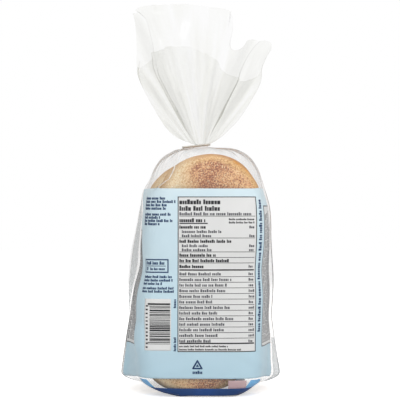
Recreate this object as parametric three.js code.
// A six-pack of English muffins in its clear printed bag, standing on the flat of its gusseted base.
// Two stacks of three muffins lie one above the other, with their flat faces to the front and back. The film
// wraps them in a rounded box, draws in over the top stack to a gathered neck, and fans out above it as a
// pleated tail with an open mouth, whose back lip is longer than its front one. A flat closure tag grips the
// neck. The bag is one solid, out to the film: what it holds isn't modelled.
//
// Units are millimetres. +Z is up, the printed panel with the ruled table faces -Y, and the origin is on
// the floor, under the middle of the bag.

import * as THREE from 'three';
import { mergeVertices } from 'three/addons/utils/BufferGeometryUtils.js';

// Driving dimensions: what the bag holds
const MUFFIN_DIAMETER = 97;
const MUFFIN_THICKNESS = 31;
const MUFFINS_PER_STACK = 3;
const STACKS = 2;

// Driving dimensions: the bag
const FILM_SLACK = 5.5; // how far the film stands off the muffins' faces
const SIDE_SLACK = 11.5; // and off their round sides
const FOOT_GAP = 6; // the lower muffins hang this far above the floor in the gusset
const NECK_RISE = 5; // from the top of the upper stack to the neck
const NECK_RADIUS = 5;
const NECK_LENGTH = 3;
const TAIL_HEIGHT = 127; // from the neck to the back lip
const TAIL_HALF_WIDTH = 58;
const TAIL_HALF_DEPTH = 40;
const BACK_LIP = 1; // the lip's height round the mouth, as a share of the tail's
const FRONT_LIP = 0.5;
const SIDE_LIP = 0.7; // where it dips, at the right
const SIDE_DIP = { from: 0.45, to: 0.62 }; // how far to the right the dip begins, and is whole
const LIP_STEP = { from: -0.35, to: 0.4 }; // from front to back, where the lip climbs to its back height
const MOUTH_MIDDLE = 0.7; // the height of the middle of the mouth, as a share of the tail's
const TAIL_GROWTH = 3; // its lip and pleats are full a third of the way up
const PLEATS = 9;
const PLEAT_DEPTH = 0.1;
const FOOT_HALF_WIDTH = 32;
const FOOT_INSET = 9; // how far the flat foot is set in from the panels
const EAR_REACH = 68; // the gusset's corners, from the middle
const EAR_HEIGHT = 12; // and above the floor
const EAR_RISE = 50; // how far up the side seam an ear fades out
const EAR_DROP = 8; // and down the gusset
const EAR_THICKNESS = 18;

// How the skin closes in from the full section: off its half width and half depth, and the height from the
// top of the upper stack
const SHOULDERS = [
  { width: -1, depth: 0, rise: -70 },
  { width: -7, depth: -0.5, rise: -44 },
  { width: -17, depth: -1.5, rise: -19 },
  { width: -28, depth: -5, rise: -5 },
];
// Over the upper stack and down into the neck: its reach past the neck's radius, and how far below the neck
const GATHERS = [
  { width: 14, depth: 28, drop: 4 },
  { width: 3, depth: 4, drop: 2 },
];
// How the tail opens: shares of its full half width and half depth, and the height above the neck
const FLARES = [
  { width: 0.38, depth: 0.42, rise: 13 },
  { width: 0.78, depth: 0.72, rise: 36 },
  { width: 0.95, depth: 0.92, rise: 66 },
];
const ROUND = 2; // a superellipse's power where the film is round
const BOXY = 4.4; // and where it is boxy
const ROUNDING_DEPTH = 4; // the section turns round from this far below the top of the upper stack

// Driving dimensions: the closure tag
const TAG_LENGTH = 24;
const TAG_WIDTH = 21;
const TAG_THICKNESS = 1;
const TAG_CORNER = 3;
const TAG_HOLE_RADIUS = 5.6;
const TAG_SLOT = 3.4;
const TAG_MOUTH = 9;
const TAG_MOUTH_DEPTH = 1.6;
const TAG_LAND = 2.4; // the plastic between the hole and the mouth's end
const TAG_TILT = THREE.MathUtils.degToRad(6);

// How finely the bag's skin is divided
const AROUND = 72;
const ROWS_PER_STATION = 3;
const HOLE_STEPS = 24;

// Worked out from these
const HALF_WIDTH = MUFFIN_DIAMETER / 2 + SIDE_SLACK;
const HALF_DEPTH = (MUFFINS_PER_STACK * MUFFIN_THICKNESS) / 2 + FILM_SLACK;
const STACK_TOP = FOOT_GAP + STACKS * MUFFIN_DIAMETER;
const NECK_Z = STACK_TOP + NECK_RISE;
const MOUTH_Z = NECK_Z + TAIL_HEIGHT;

// The gusset spreads in a straight line from the foot to its ears
function gussetWidth(share) {
  return THREE.MathUtils.lerp(FOOT_HALF_WIDTH, EAR_REACH, share);
}

// The bag's outline from floor to mouth: half width, half depth and height of each place where it changes
function outline() {
  const at = (width, depth, z) => new THREE.Vector3(width, depth, z);
  return [
    at(FOOT_HALF_WIDTH, HALF_DEPTH - FOOT_INSET, 0),
    at(gussetWidth(1 / 3), HALF_DEPTH - FOOT_INSET / 4, EAR_HEIGHT / 3),
    at(gussetWidth(2 / 3), HALF_DEPTH, (EAR_HEIGHT * 2) / 3),
    at(HALF_WIDTH, HALF_DEPTH, EAR_HEIGHT),
    at(HALF_WIDTH, HALF_DEPTH, STACK_TOP / 2),
    ...SHOULDERS.map((to) => at(HALF_WIDTH + to.width, HALF_DEPTH + to.depth, STACK_TOP + to.rise)),
    ...GATHERS.map((to) => at(NECK_RADIUS + to.width, NECK_RADIUS + to.depth, NECK_Z - to.drop)),
    at(NECK_RADIUS, NECK_RADIUS, NECK_Z), // the neck, through the tag
    at(NECK_RADIUS, NECK_RADIUS, NECK_Z + NECK_LENGTH),
    ...FLARES.map((to) => at(TAIL_HALF_WIDTH * to.width, TAIL_HALF_DEPTH * to.depth, NECK_Z + to.rise)),
    at(TAIL_HALF_WIDTH, TAIL_HALF_DEPTH, MOUTH_Z),
  ];
}

// One point of a superellipse: an ellipse at squareness ROUND, and nearer a rectangle above that
function superellipse(angle, width, depth, squareness) {
  const bend = (value) => Math.sign(value) * Math.abs(value) ** (2 / squareness);
  return new THREE.Vector2(width * bend(Math.cos(angle)), depth * bend(Math.sin(angle)));
}

// The film is boxy round the muffins and round where it is gathered
function squarenessAt(z) {
  const gathered = THREE.MathUtils.smoothstep(z, STACK_TOP - ROUNDING_DEPTH, NECK_Z);
  return THREE.MathUtils.lerp(BOXY, ROUND, gathered);
}

// How far the gusset's ear draws the side out to a thin corner, from 0 to 1
function earAt(angle, z) {
  const offSide = Math.abs(Math.sin(angle)) * HALF_DEPTH;
  const offHeight = z > EAR_HEIGHT ? (z - EAR_HEIGHT) / EAR_RISE : (EAR_HEIGHT - z) / EAR_DROP;
  return Math.max(0, 1 - offSide / EAR_THICKNESS) * Math.max(0, 1 - offHeight);
}

// The lip's height round the mouth, as a share of its highest: low at the front, with a dip at the right
function lipShare(angle) {
  const { lerp, smoothstep } = THREE.MathUtils;
  const back = lerp(BACK_LIP, SIDE_LIP, smoothstep(Math.cos(angle), SIDE_DIP.from, SIDE_DIP.to));
  return lerp(FRONT_LIP, back, smoothstep(Math.sin(angle), LIP_STEP.from, LIP_STEP.to));
}

// How much of its own shape the tail has taken on at a height: its lip and its pleats grow from the neck
function tailShare(z) {
  return THREE.MathUtils.clamp((TAIL_GROWTH * (z - NECK_Z)) / TAIL_HEIGHT, 0, 1);
}

function bagPoint(angle, station) {
  const { x: width, y: depth, z } = station;
  const share = tailShare(z);
  const pleat = 1 - PLEAT_DEPTH * share * (1 - Math.cos(PLEATS * angle));
  const point = superellipse(angle, width * pleat, depth * pleat, squarenessAt(z));
  const ear = earAt(angle, z) * Math.sign(Math.cos(angle));
  const height = z - (z - NECK_Z) * share * (1 - lipShare(angle));
  return new THREE.Vector3(point.x + ear * (EAR_REACH - width), point.y, height);
}

// A cylinder's skin, with each of its rows laid on the bag's outline. Its caps become the foot and the mouth.
function bagGeometry() {
  const stations = outline();
  const profile = new THREE.CatmullRomCurve3(stations, false, 'centripetal');
  const rows = ROWS_PER_STATION * (stations.length - 1);
  const skin = new THREE.CylinderGeometry(1, 1, 1, AROUND, rows);
  skin.deleteAttribute('normal');
  skin.deleteAttribute('uv');
  const closed = mergeVertices(skin, 1e-5);
  const { position } = closed.attributes;
  for (let i = 0; i < position.count; i++) {
    const from = new THREE.Vector3().fromBufferAttribute(position, i);
    const station = profile.getPoint(from.y + 0.5);
    const onAxis = Math.hypot(from.x, from.z) < 0.5;
    const angle = Math.atan2(-from.z, from.x);
    const to = bagPoint(angle, station);
    if (onAxis) to.set(0, 0, station.z > NECK_Z ? NECK_Z + TAIL_HEIGHT * MOUTH_MIDDLE : 0);
    position.setXYZ(i, to.x, to.y, to.z);
  }
  closed.computeVertexNormals();
  return closed;
}

// The tag's flat outline: a rounded plate with a round hole for the neck, and a slot and flared mouth at +X
function tagShape() {
  const right = TAG_HOLE_RADIUS + TAG_LAND;
  const left = right - TAG_LENGTH;
  const side = TAG_WIDTH / 2;
  const slotAngle = Math.asin(TAG_SLOT / 2 / TAG_HOLE_RADIUS);
  const shape = new THREE.Shape();
  shape.moveTo(right, TAG_MOUTH / 2);
  shape.lineTo(right, side - TAG_CORNER);
  shape.absarc(right - TAG_CORNER, side - TAG_CORNER, TAG_CORNER, 0, Math.PI / 2, false);
  shape.absarc(left + TAG_CORNER, side - TAG_CORNER, TAG_CORNER, Math.PI / 2, Math.PI, false);
  shape.absarc(left + TAG_CORNER, -side + TAG_CORNER, TAG_CORNER, Math.PI, 1.5 * Math.PI, false);
  shape.absarc(right - TAG_CORNER, -side + TAG_CORNER, TAG_CORNER, 1.5 * Math.PI, 2 * Math.PI, false);
  shape.lineTo(right, -TAG_MOUTH / 2);
  shape.lineTo(right - TAG_MOUTH_DEPTH, -TAG_SLOT / 2);
  shape.absarc(0, 0, TAG_HOLE_RADIUS, 2 * Math.PI - slotAngle, slotAngle, true);
  shape.lineTo(right - TAG_MOUTH_DEPTH, TAG_SLOT / 2);
  shape.closePath();
  return shape;
}

function tagGeometry() {
  const plate = new THREE.ExtrudeGeometry(tagShape(), {
    depth: TAG_THICKNESS,
    bevelEnabled: false,
    curveSegments: HOLE_STEPS,
  });
  plate.translate(0, 0, -TAG_THICKNESS / 2);
  return plate;
}

// Colours and finishes
const film = new THREE.MeshStandardMaterial({ color: 0xb9d7e6, roughness: 0.25, metalness: 0 });
const tagPlastic = new THREE.MeshStandardMaterial({ color: 0xb4b4b0, roughness: 0.45, metalness: 0 });

const bag = new THREE.Mesh(bagGeometry(), film);
bag.name = 'bag';

const tag = new THREE.Mesh(tagGeometry(), tagPlastic);
tag.name = 'closure_tag';
tag.position.set(0, 0, NECK_Z + NECK_LENGTH / 2);
tag.rotation.y = -TAG_TILT;

const pack = new THREE.Group();
pack.add(bag, tag);

export default pack;
